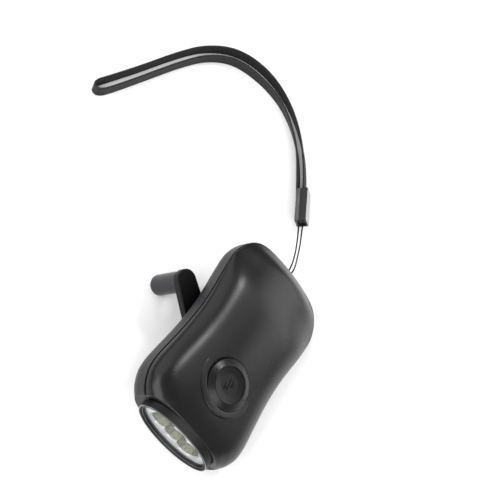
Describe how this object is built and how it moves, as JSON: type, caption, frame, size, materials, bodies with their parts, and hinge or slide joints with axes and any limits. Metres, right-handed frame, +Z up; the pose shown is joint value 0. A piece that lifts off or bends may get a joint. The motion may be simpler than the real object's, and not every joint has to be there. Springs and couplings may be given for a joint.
{
  "type": "hand crank flashlight",
  "caption": "Palm-sized flashlight with a waisted oval body, a round push button, a reflector behind an oval lens, a folding crank that drives an inner generator, and a wrist strap.",
  "frame": {"origin": "middle of the bounding box of the flashlight without its strap, on the surface it rests on", "axes": "-Y to the light, +Y to the strap end, +Z up; at rest the body leans 25.8 degrees about Y on one back edge and the crank's knob"},
  "size_m": [0.1517, 0.1953, 0.0366],
  "materials": {
    "case_black": "satin black plastic",
    "bezel_black": "semi-gloss black plastic",
    "button_black": "semi-gloss black plastic",
    "crank_black": "semi-gloss black plastic",
    "knob_grey": "satin dark grey plastic",
    "lens_clear": "clear moulded plastic, gloss",
    "reflector_silver": "vacuum metallised plastic",
    "led_clear": "cast resin",
    "board_green": "solder mask",
    "component_black": "moulded packages",
    "steel": "zinc plated",
    "cell_nickel": "nickel plated",
    "gear_white": "natural acetal",
    "copper": "enamelled wire",
    "bush_brass": "turned",
    "magnet_grey": "sintered",
    "wire_red": "insulation",
    "gasket_rubber": "matt",
    "strap_black": "woven nylon",
    "ferrule_dark": "dark plated crimp"
  },
  "bodies": {
    "case": {"front_shell": "case_black", "back_shell": "case_black", "bezel_ring": "bezel_black", "lens": "lens_clear", "lens_gasket": "gasket_rubber", "reflector": "reflector_silver", "leds": "led_clear", "led_board": "board_green", "switch_body": "component_black", "main_board": "board_green", "board_components": "component_black", "stator_can": "steel", "stator_coil": "copper", "gear_plate": "gear_white", "gear_axles": "steel", "board_screws": "steel", "case_screws": "steel", "battery_cells": "cell_nickel", "battery_clip": "steel", "hub_bush": "bush_brass", "wires": "wire_red", "strap_cord": "strap_black", "strap_band": "strap_black", "strap_ferrule": "ferrule_dark"},
    "crank": {"crank_hub": "crank_black", "hub_screw": "steel", "crank_gear": "gear_white", "fold_pin": "steel"},
    "arm": {"crank_arm": "crank_black", "knob_pin": "steel"},
    "knob": {"crank_knob": "knob_grey"},
    "idler_1": {"idler_gear_1": "gear_white"},
    "idler_2": {"idler_gear_2": "gear_white"},
    "rotor": {"rotor_pinion": "steel", "rotor_magnet": "magnet_grey"},
    "button": {"button": "button_black", "switch_plunger": "component_black"}
  },
  "joints": [
    {"name": "crank_turn", "type": "hinge", "parent": "case", "child": "crank", "pos_m": [0.0051, -0.00355, 0.00959], "axis": [0.4351, 0, 0.9004], "continuous": true},
    {"name": "crank_fold", "type": "hinge", "parent": "crank", "child": "arm", "pos_m": [0.003, -0.00336, 0.00605], "axis": [-0.4263, -0.8808, 0.206], "range_deg": [0, 120]},
    {"name": "knob_spin", "type": "hinge", "parent": "arm", "child": "knob", "pos_m": [-0.02781, 0.01295, 0.01205], "axis": [0.4351, 0, 0.9004], "continuous": true},
    {"name": "idler_1_spin", "type": "hinge", "parent": "case", "child": "idler_1", "pos_m": [0.01426, 0.00971, 0.00971], "axis": [0.4351, 0, 0.9004], "continuous": true},
    {"name": "idler_2_spin", "type": "hinge", "parent": "case", "child": "idler_2", "pos_m": [0.00152, 0.00945, 0.01643], "axis": [0.4351, 0, 0.9004], "continuous": true},
    {"name": "rotor_spin", "type": "hinge", "parent": "case", "child": "rotor", "pos_m": [-0.00598, 0.02045, 0.02227], "axis": [0.4351, 0, 0.9004], "continuous": true},
    {"name": "button_press", "type": "slide", "parent": "case", "child": "button", "axis": [-0.4351, 0, -0.9004], "range_m": [0, 0.0012], "stiffness_N_per_m": 400, "springref_m": -0.001}
  ],
  "couplings": [
    {"joint": "idler_1_spin", "follows": "crank_turn", "ratio": -3.3333},
    {"joint": "idler_2_spin", "follows": "crank_turn", "ratio": 10},
    {"joint": "rotor_spin", "follows": "crank_turn", "ratio": -30}
  ]
}
